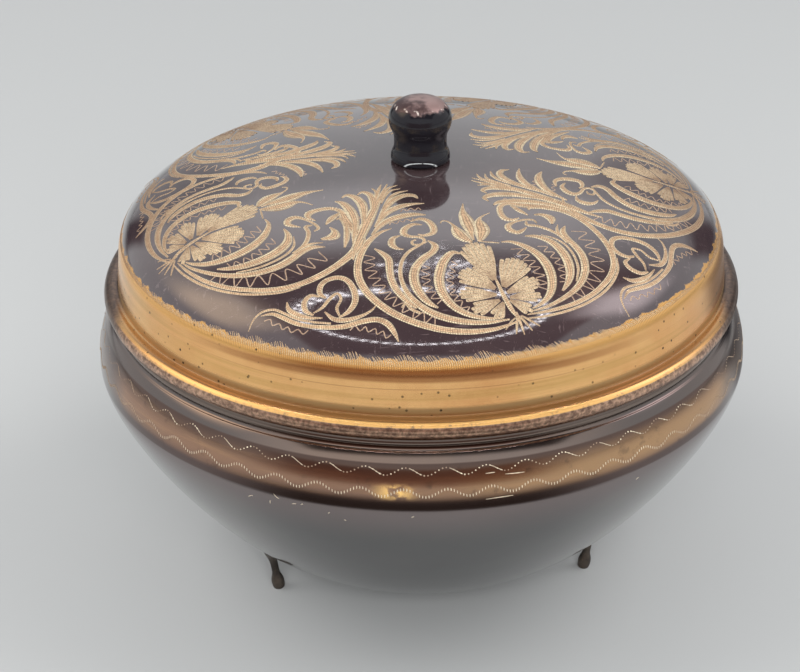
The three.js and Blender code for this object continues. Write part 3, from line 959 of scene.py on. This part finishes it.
def lid_finish():
    finish = Finish("lid_lacquer_over_brass")
    x, y, z = finish.split(finish.place)
    angle = x.angle(y * -1)
    height = z + (angle + BORDER_TILT_AT).cosine() * (BORDER_TILT * MM)
    patches = finish.noise(35, 4, 0.6)
    mottle = finish.noise(800, 4, 0.65)
    haze = finish.noise(22, 4, 0.6)
    scratches = finish.lines((14, 14, 2600), 4)
    streaks = finish.lines((9, 9, 420), 3, 0.55)
    # where the lacquer ends, a wandering and scalloped line
    drift = finish.noise(60, 2) * 0.0005 + (angle * SCALLOPS).sine() * 0.00020
    drift = drift + (finish.noise(420, 3, 0.6) - 0.5) * 0.0022
    bare = (height + drift).rises(WALL_TOP + 0.0004, WALL_TOP)
    # zones of the bare metal
    front = y.rises(-0.055, -0.084)
    side = (x * x).rises(0.0063, 0.0072)
    yellow = height.rises(*YELLOW_BAND) * bare
    hairs = (angle * HAIRS + height * 900).sine().rises(-0.4, 0.8) * height.rises(*HAIR_BAND) * bare
    # painted reflection: a dark belt and a thin dark line across the front of the wall
    painted_reflection_belt = z.between(*PAINTED_REFLECTION_BELT, 0.0005) * front * (0.6 + streaks * 0.8)
    painted_reflection_line = z.between(*PAINTED_REFLECTION_LINE, 0.0001) * front * 0.6
    # painted shade: the foot of the wall is darker, most at the front
    wall_foot_painted_shade = z.rises(*WALL_FOOT_SHADE) * (0.3 + front * 0.3)
    specks = patches.rises(0.46, 0.56).max(z.rises(*LOW_WALL) * 0.7) * finish.specks(330, 0.15)
    cove_zone = z.between(*COVE_ZONE, 0.0006)
    bead_zone = z.rises(*BEAD_DULL).max(z.rises(*BEAD_DULL_SIDE) * side)
    # painted highlights: two bright lines along the front of the bead, made less metallic so that the lamps
    # light them
    bead_painted_highlight = z.between(*BEAD_HIGHLIGHT_LINE, 0.0001) * y.rises(-0.038, -0.066)
    bead_top_painted_highlight = z.between(*BEAD_TOP_HIGHLIGHT, 0.00005) * y.rises(-0.030, -0.060)
    bead = finish.mixed(mottle.rises(0.35, 0.70), (0.27, 0.165, 0.12), (0.78, 0.51, 0.35))
    bead = finish.mixed(side * 0.75, bead, (0.12, 0.095, 0.085))
    gold = finish.mixed(patches.rises(0.3, 0.75), (1.0, 0.60, 0.25), (0.86, 0.44, 0.17))
    gold = finish.layered(
        gold,
        (streaks.rises(0.50, 0.72) * 0.6, (0.66, 0.40, 0.13)),
        (scratches.rises(0.60, 0.72) * 0.55, (0.45, 0.22, 0.09)),
        (height.rises(*ORANGE_BAND), (1.0, 0.55, 0.18)),
        (painted_reflection_belt, (0.42, 0.18, 0.065)),
        (painted_reflection_line, (0.42, 0.22, 0.09)),
        (wall_foot_painted_shade, (0.60, 0.33, 0.12)),
        (cove_zone, (0.62, 0.41, 0.19)),
        (hairs * 0.45, (0.36, 0.20, 0.07)),
        (specks, (0.03, 0.02, 0.015)),
        (bead_zone, bead),
        (bead_top_painted_highlight, (0.34, 0.165, 0.055)),
        (bead_painted_highlight * mottle.rises(0.2, 0.5), (0.88, 0.50, 0.16)))
    # the lacquer, with scuffs in two directions and dust
    scuffs = finish.lines((900, 120, 500), 3, 0.7).rises(0.60, 0.74).max(
        finish.lines((140, 1100, 500), 3, 0.7).rises(0.60, 0.74))
    lacquer = finish.mixed(haze.rises(0.3, 0.75), (0.040, 0.025, 0.028), (0.072, 0.046, 0.046))
    lacquer = finish.layered(
        lacquer,
        (scuffs * 0.5, (0.20, 0.15, 0.15)),
        (finish.specks(520, 0.10) * haze.rises(0.5, 0.7) * 0.5, (0.35, 0.32, 0.30)))
    roughness = 0.07 + haze * 0.05 + bare * (0.09 + mottle * 0.10)
    return finish.surface(
        Base_Color=finish.mixed(bare, lacquer, gold),
        Metallic=bare - (bead_painted_highlight + bead_top_painted_highlight) * 0.55 - yellow * 0.25,
        Roughness=roughness + bead_zone * 0.12 + cove_zone * 0.2, IOR=1.76,
        Coat_Weight=1 - bare * 0.85, Coat_Roughness=0.05, Coat_IOR=1.5,
        Normal=finish.bump(scratches * 0.4 + mottle * bead_zone * 2.0 + streaks * 0.3, 0.00004, 0.35))


# %% [markdown]
# ## The bowl's finish
#
# The body is dark and almost a mirror, with a painted reflection that makes it darkest in front of its middle
# and lighter at its sides. On the shoulder the lacquer is brown and rubbed thin, most of all in the middle of
# the band and towards its right. The band is darker towards its left and right sides. One small spot is worn
# through. A duller neck leads up to the rim, and its sides are painted darker as a painted reflection.

# %% Bowl finish
# heights, in metres
BELLY_LINE = 65.7 * MM
NECK_LINE = 77.7 * MM
RIM_LINE = 80.25 * MM
RUBBED_BAND = (0.0689, 0.0750)
WORN_SPOT = bowl_meridian.place(bowl_meridian.length_at(70.6), math.radians(-4.3))


def bowl_finish():
    finish = Finish("bowl_lacquer_over_brass")
    x, _, z = finish.split(finish.place)
    aside = x * x
    cloud = finish.noise(26, 4, 0.62)
    fine = finish.noise(260, 4, 0.6)
    rubs = finish.lines((30, 30, 700), 4)
    body = finish.mixed(cloud.rises(0.3, 0.72), (0.16, 0.155, 0.155), (0.205, 0.195, 0.19))
    body = finish.layered(
        body,
        # painted reflection: darker down the middle of the body and lighter at its sides
        (aside.rises(0.0032, 0.0003) * 0.6, (0.10, 0.10, 0.10)),
        (aside.rises(0.0008, 0.0040) * 0.5, (0.30, 0.29, 0.28)),
        (z.rises(0.050, BELLY_LINE) * 0.6, (0.27, 0.21, 0.205)))
    middle = z.between(*RUBBED_BAND, 0.0026)
    rubbed = (cloud * 0.9 + x * 6.0).rises(0.28, 0.85)
    ends = (aside + (cloud - 0.5) * 0.001).rises(0.0062, 0.0072)
    worn = finish.near(WORN_SPOT, 0.0075) * z.between(0.0686, 0.0726, 0.0008)
    worn = worn * fine.rises(0.40, 0.55)
    brown = finish.mixed(middle, (0.17, 0.11, 0.09), (0.40, 0.235, 0.155))
    brown = finish.layered(
        brown,
        (middle * rubbed, (0.54, 0.33, 0.175)),
        (rubs.rises(0.52, 0.68) * middle * 0.3, (0.70, 0.42, 0.22)),
        (fine.rises(0.58, 0.74) * 0.45, (0.10, 0.065, 0.05)),
        (z.rises(0.0688, 0.0672) * 0.85, (0.12, 0.085, 0.08)),
        (ends * 0.7, (0.10, 0.08, 0.08)),
        (worn, (1.0, 0.62, 0.20)))
    neck = finish.mixed(cloud.rises(0.35, 0.7), (0.42, 0.30, 0.24), (0.35, 0.27, 0.235))
    # painted reflection: the neck is darker towards its left and right sides
    neck = finish.mixed(aside.rises(0.0006, 0.0030) * 0.75, neck, (0.17, 0.15, 0.145))
    colour = finish.layered(
        body,
        (z.past(BELLY_LINE, 0.0003), brown),
        (z.past(NECK_LINE, 0.0002), neck),
        (z.past(RIM_LINE, 0.00015), (0.20, 0.155, 0.13)))
    return finish.surface(
        Base_Color=colour, Metallic=1 - worn * 0.5,
        Roughness=0.11 + cloud * 0.05 + middle * 0.07 + fine * 0.04,
        Coat_Weight=0.35, Coat_Roughness=0.06, Coat_IOR=1.5, Normal=finish.bump(fine, 0.00003, 0.2))


# %% [markdown]
# ## Knob, feet and fittings
#
# The knob is black with a worn crown, and a pale arch on the front of its lip is a painted highlight. The
# feet are rough castings, and the collar, the screw and the washer are bare metal gone a little dull.

# %% Other finishes
KNOB_CROWN = (0.1376, 0.1384)
CHIP_BAND = (0.1372, 0.1388)
HIGHLIGHT_ARCH_FOOT = KNOB_BASE * MM + 0.0001
HIGHLIGHT_ARCH_RISE = 1.7 * MM
HIGHLIGHT_ARCH_HALF = 4.6 * MM


def knob_finish():
    finish = Finish("black_knob_lacquer")
    x, y, z = finish.split(finish.place)
    wear = finish.noise(700, 4, 0.62)
    broad = finish.noise(260, 4, 0.6)
    crown = (z + (broad - 0.5) * 0.004).rises(*KNOB_CROWN)
    rubbed = finish.mixed((broad * 0.7 + wear * 0.3 + x * 30.0).rises(0.35, 0.65),
                          (0.07, 0.04, 0.04), (0.30, 0.20, 0.185))
    chips = wear.rises(0.60, 0.64) * crown * z.between(*CHIP_BAND, 0.0004)
    # painted highlight: a pale arch on the front of the knob's lip
    up = (z - HIGHLIGHT_ARCH_FOOT) / HIGHLIGHT_ARCH_RISE
    painted_highlight_arch = ((x * x) / HIGHLIGHT_ARCH_HALF ** 2 + up * up).between(0.80, 1.02, 0.10) * y.rises(-0.002, -0.006)
    colour = finish.layered(
        (0.010, 0.009, 0.012),
        (crown, rubbed),
        (chips, (0.80, 0.70, 0.62)),
        (painted_highlight_arch * wear.rises(0.35, 0.50), (0.56, 0.58, 0.58)))
    return finish.surface(
        Base_Color=colour, Metallic=crown * 0.35, Roughness=0.08 + crown * 0.2 + wear * 0.05,
        IOR=1.45, Normal=finish.bump(wear * crown, 0.0001, 0.5))


def cast_finish():
    finish = Finish("dark_cast_brass")
    grain = finish.noise(900, 4, 0.6)
    cloud = finish.noise(180, 3, 0.6)
    colour = finish.mixed(cloud.rises(0.35, 0.7), (0.055, 0.046, 0.040), (0.13, 0.105, 0.085))
    colour = finish.mixed(grain.rises(0.62, 0.72) * 0.5, colour, (0.32, 0.22, 0.12))
    return finish.surface(
        Base_Color=colour, Metallic=0.8, Roughness=0.34 + grain * 0.2,
        Normal=finish.bump(grain, 0.0002, 0.5))


def bare_finish(name, light, dark, scale):
    finish = Finish(name)
    cloud = finish.noise(scale, 4, 0.6)
    lines = finish.lines((60, 60, 2200))
    colour = finish.mixed(cloud.rises(0.35, 0.7), light, dark)
    colour = finish.mixed(lines.rises(0.58, 0.7) * 0.3, colour, dark)
    return finish.surface(
        Base_Color=colour, Metallic=1.0, Roughness=0.24 + cloud * 0.16,
        Normal=finish.bump(lines, 0.00004, 0.4))


# %% [markdown]
# ## Cut metal
#
# A cut is brightest along its edges. Hatching crosses it, three dark lines run along it, and its root and one
# of its sides are in painted shade. The cuts at the back and far out to the sides are painted darker, as
# painted shade.

# %% Cut finish
HATCH_PITCH = 0.62
DARK_LINES = ((-0.52, -0.36), (-0.04, 0.09), (0.38, 0.52))


def cut_finish(name, edge, heart, hatching, rim_shade, root_shade, grain):
    """Bright metal as the graver leaves it. The last four numbers are the strength of each shade."""
    finish = Finish(name)
    x, y, _ = finish.split(finish.place)
    along, across, _ = finish.split(finish.uv("cut"))
    from_middle = across * across
    wander = finish.noise(700, 2)
    cloud = finish.noise(160, 3, 0.6)
    hatch = (along * (math.tau / HATCH_PITCH) + wander * 7.0 + across * 1.6).sine()
    rim = from_middle.rises(0.45, 0.8)
    wavering = across + (cloud - 0.5) * 0.7
    first, second, third = (wavering.between(*ends, 0.07) for ends in DARK_LINES)
    dark_lines = first.max(second).max(third) * wander.rises(0.25, 0.5)
    shade = hatch.rises(-0.3, 0.8) * (hatching + rim * 0.4)
    # besides the dark lines, painted shade darkens a cut's edges, one of its sides and its root
    for other in (dark_lines * 0.95, from_middle.rises(0.35, 0.85) * rim_shade,
                  across.rises(0.50, 0.90) * 0.6, along.rises(5.0, 0.5) * root_shade):
        shade = shade.max(other)
    shade = shade + finish.noise(2000, 3, 0.7).rises(0.46, 0.66) * grain
    shade = shade + finish.noise(320, 3, 0.65).rises(0.50, 0.72) * 0.2
    # painted shade: the cuts at the back and far out to the sides are darker
    painted_far_shade = y.rises(0.0, 0.055).max((x * x).rises(0.0030, 0.0062))
    colour = finish.layered(
        heart,
        (from_middle.rises(0.05, 0.5), edge),
        (painted_far_shade * 0.7, (0.40, 0.275, 0.18)),
        (shade.min(0.8), (0.17, 0.08, 0.045)))
    return finish.surface(
        Base_Color=colour, Metallic=0.35, Roughness=0.42 + cloud * 0.1,
        Normal=finish.bump(hatch * 0.5 + 0.5, 0.00006, 0.5))


hatched = cut_finish("hatched_brass", (1.0, 0.88, 0.60), (0.86, 0.60, 0.36), 0.55, 0.2, 0.25, 0.38)
stippled = cut_finish("stippled_brass", (1.0, 0.86, 0.58), (0.92, 0.70, 0.44), 0.45, 0.75, 0.6, 0.6)
punched = cut_finish("punched_brass", (1.0, 0.90, 0.70), (1.0, 0.88, 0.66), 0.1, 0.1, 0.1, 0.2)
scratched = cut_finish("scratched_brass", (0.80, 0.62, 0.45), (0.66, 0.48, 0.34), 0.3, 0.2, 0.1, 0.5)
print("cut finishes:", hatched.name, stippled.name, punched.name, scratched.name)

# %% Painting
bare_brass = bare_finish("bare_brass", (0.80, 0.56, 0.28), (0.52, 0.34, 0.17), 90)
screw_brass = bare_finish("screw_brass", (0.74, 0.55, 0.32), (0.44, 0.31, 0.18), 260)
cast_brass = cast_finish()
paint(lid_shell, lid_finish())
paint(bowl_shell, bowl_finish())
paint(knob, knob_finish())
paint(nodes["mouth_collar"], bare_brass)
paint(nodes["knob_washer"], bare_brass)
paint(nodes["knob_screw"], screw_brass)
for foot in feet:
    paint(foot, cast_brass)
for piece in engraving:
    paint(piece, {"lid_petals": stippled, "lid_wriggles": scratched}.get(piece.name, hatched))
for piece in waves:
    paint(piece, punched)
print("finishes:", len(bpy.data.materials))

# %% [markdown]
# ## Stage
#
# A pale floor under a pale, even sky.

# %% Floor and sky
def staged(name, build, material, only_reflected=False):
    """Keeps a bmesh as a thing of the stage, which may be there for reflections alone."""
    thing = as_object(name, build)
    paint(thing, material)
    if only_reflected:
        thing.visible_camera = False
        thing.visible_diffuse = False
        thing.visible_shadow = False
        thing.visible_transmission = False


def floor_finish():
    finish = Finish("pale_table")
    grain = finish.noise(3, 2)
    tone = finish.mixed(grain, (0.515, 0.52, 0.52), (0.505, 0.515, 0.51))
    return finish.surface(Base_Color=tone, Roughness=0.8)


SKY = 0.62
SKY_COLOUR = (0.96, 0.98, 1.0, 1)
FLOOR_RADIUS = 9.0
floor_mesh = bmesh.new()
bmesh.ops.create_circle(floor_mesh, cap_ends=True, segments=64, radius=FLOOR_RADIUS)
staged("floor", floor_mesh, floor_finish())
world = bpy.data.worlds.new("studio")
world.use_nodes = True
bpy.context.scene.world = world
background = world.node_tree.nodes["Background"].inputs
background["Color"].default_value = SKY_COLOUR
background["Strength"].default_value = SKY
print("floor and sky set")

# %% [markdown]
# ## What the metal sees
#
# Polished metal shows its surroundings, so these are placed as carefully as lamps. Each is a patch of
# a large sphere round the bowl, given by its directions in degrees: the azimuth from the front towards
# +X, and the elevation. Only reflections see them. A patch fades out towards its edges, and it is
# either dark, or a soft box that glows. Where it reaches below the horizon, it lies just over the
# floor. The canopy is a dark sheet bent over the bowl from front to back, which the dome mirrors.

# %% Patches of the surroundings
MIDDLE_HEIGHT = 0.1
FLOOR_CLEARANCE = 0.002


def glow_finish(name, colour, strength=1.0):
    """Light of one colour, as a finish and its shader."""
    finish = Finish(name)
    return finish, finish.node("ShaderNodeEmission", {}, {"Color": colour, "Strength": strength})


def patch_finish(name, glow, fades):
    """Light of one colour, which fades into nothing at the patch's sides and ends."""
    finish, light = glow_finish(name, glow)
    solid = 1
    for side, fade in zip(finish.split(finish.uv("patch")), fades):
        solid = side.rises(0, fade) * side.rises(1, 1 - fade) * solid
    clear = finish.node("ShaderNodeBsdfTransparent", {}, {})
    blend = finish.node("ShaderNodeMixShader", {}, {"Fac": solid, 1: clear, 2: light})
    finish.node("ShaderNodeOutputMaterial", {}, {"Surface": blend})
    return finish.material


def part_way(ends, share):
    return ends[0] + (ends[1] - ends[0]) * share


def sheet(name, across_steps, up_steps, spot, glow, fades):
    """A sheet of light. The spot function takes the shares across and up it, and gives a place."""
    build = bmesh.new()
    uv = build.loops.layers.uv.new("patch")
    grid = bmesh.ops.create_grid(build, x_segments=across_steps, y_segments=up_steps, size=0.5)
    where = {vert: (vert.co.x + 0.5, vert.co.y + 0.5) for vert in grid["verts"]}
    for vert, shares in where.items():
        vert.co = spot(*shares)
    for face in build.faces:
        for loop in face.loops:
            loop[uv].uv = where[loop.vert]
    staged(name, build, patch_finish(name + "_light", glow, fades), only_reflected=True)


def patch(name, azimuths, elevations, glow, fades=(0.25, 0.25), reach=1.6):
    """A patch between two azimuths and two elevations."""
    def spot(across, up):
        azimuth = math.radians(part_way(azimuths, across))
        elevation = math.radians(part_way(elevations, up))
        away = reach
        if elevation < 0:
            away = min(reach, (MIDDLE_HEIGHT - FLOOR_CLEARANCE) / -math.sin(elevation))
        flat = away * math.cos(elevation)
        return Vector((flat * math.sin(azimuth), -flat * math.cos(azimuth),
                       MIDDLE_HEIGHT + away * math.sin(elevation)))
    sheet(name, 12, 12, spot, glow, fades)


def canopy(name, elevations, sides, glow, fades, reach=1.5):
    """A sheet bent round the X axis. An elevation past 90 is behind the bowl."""
    def spot(across, up):
        elevation = math.radians(part_way(elevations, up))
        return Vector((part_way(sides, across), -reach * math.cos(elevation),
                       MIDDLE_HEIGHT + reach * math.sin(elevation)))
    sheet(name, 4, 24, spot, glow, fades)


canopy("dark_canopy", (38, 135), (-1.05, 1.36), (0.035, 0.03, 0.032), (0.07, 0.12))
patch("dark_front", (-62, 54), (-12.8, 16), (0.23, 0.135, 0.11), (0.25, 0.12), 1.3)
patch("dark_near_floor", (-68, 64), (-35, -20.5), (0.12, 0.10, 0.09), (0.3, 0.2))
patch("left_seam", (-151, -133), (-8, 22), (0.02, 0.02, 0.03), (0.35, 0.3))
patch("right_seam", (124, 151), (-8, 27), (0.02, 0.02, 0.03), (0.35, 0.3))
patch("right_dull", (108, 150), (-36, -6), (0.2, 0.19, 0.19), (0.3, 0.2), 1.62)
patch("left_grey", (-166, -146), (-4, 30), (0.30, 0.30, 0.31), reach=1.65)
patch("right_grey", (148, 168), (-4, 30), (0.30, 0.30, 0.31), reach=1.65)
patch("left_soft_box", (-130, -64), (20, 64), (2.3, 1.8, 1.35), (0.4, 0.4))
patch("right_soft_box", (82, 128), (24, 64), (2.6, 2.25, 2.3), (0.4, 0.4))
patch("back_glow", (145, 215), (27, 50), (1.05, 1.05, 1.07), (0.3, 0.3), 1.7)
print("surroundings set")

# %% [markdown]
# ## Lamps
#
# One lamp in front and one above each side light the floor and the bowl softly. Under the ceiling, a
# ring of small lamps and a cluster behind it are seen only by the metal, as glints on the dome.

# %% Lamps
def lamp(name, place, size, power):
    """A square lamp that faces the bowl's foot and isn't mirrored."""
    light = bpy.data.lights.new(name, "AREA")
    light.size = size
    light.energy = power
    thing = bpy.data.objects.new(name, light)
    bpy.context.scene.collection.objects.link(thing)
    thing.location = place
    thing.rotation_euler = (-Vector(place)).to_track_quat("-Z", "Y").to_euler()
    thing.visible_glossy = False


def glint_finish():
    finish, light = glow_finish("small_lamps", (1.0, 0.96, 1.0), 20.0)
    finish.node("ShaderNodeOutputMaterial", {}, {"Surface": light})
    return finish.material


lamp("front_fill", (0.05, -1.36, 0.63), 0.9, 17)
for name, side in (("left_fill", -0.96), ("right_fill", 0.96)):
    lamp(name, (side, 0, 1.15), 0.9, 7.5)
CEILING = 1.2
RING_SLOPES = (0.405, 0.432)
SMALL_LAMPS = 50
GLINTS = 110


def small_lamp(build, radius, angle, length, width):
    """A small square of light under the ceiling, turned to face the axis."""
    small = bmesh.ops.create_grid(build, x_segments=1, y_segments=1, size=0.5)
    for vert in small["verts"]:
        across = radius + vert.co.y * width
        turn = angle + vert.co.x * length / across
        vert.co = Vector((across * math.sin(turn), -across * math.cos(turn), CEILING))


ring = bmesh.new()
for slope in RING_SLOPES:
    for i in range(SMALL_LAMPS):
        small_lamp(ring, CEILING * slope, math.tau * i / SMALL_LAMPS, 0.032, 0.012)
for _ in range(GLINTS):
    slope = hand.gauss(0.62, 0.10)
    turn = math.pi + hand.gauss(-0.07, 0.13)
    size = hand.uniform(0.002, 0.011)
    small_lamp(ring, CEILING * slope, turn, size, size)
staged("lamp_ring", ring, glint_finish(), only_reflected=True)
print("small lamps:", len(RING_SLOPES) * SMALL_LAMPS + GLINTS)
